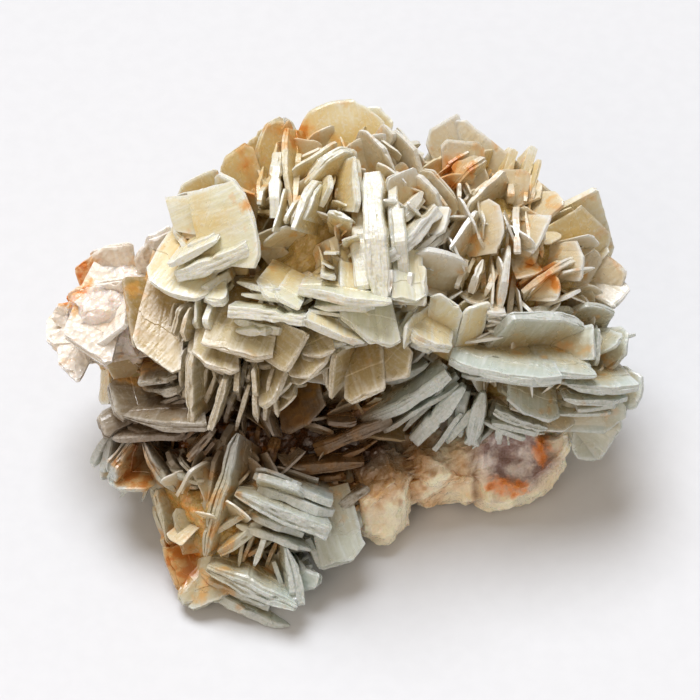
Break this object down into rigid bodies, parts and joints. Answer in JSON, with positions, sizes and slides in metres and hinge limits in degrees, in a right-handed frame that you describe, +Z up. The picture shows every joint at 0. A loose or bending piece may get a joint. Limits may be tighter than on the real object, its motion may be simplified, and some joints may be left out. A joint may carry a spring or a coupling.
{
  "type": "blue barite specimen",
  "caption": "Cluster of thin pale blue-grey barite blades on a stained rocky base, resting on a flat broken spot.",
  "frame": {"origin": "under the middle of the box, at the level of the flat spot the specimen rests on", "axes": "+X along the longest extent, +Y towards the back of the specimen as pictured, +Z up"},
  "size_m": [0.1004, 0.0756, 0.0549],
  "materials": {
    "barite": "pearly to glassy blades, stained orange in the hollows"
  },
  "bodies": {
    "root": {"barite_cluster": "barite"}
  },
  "joints": []
}
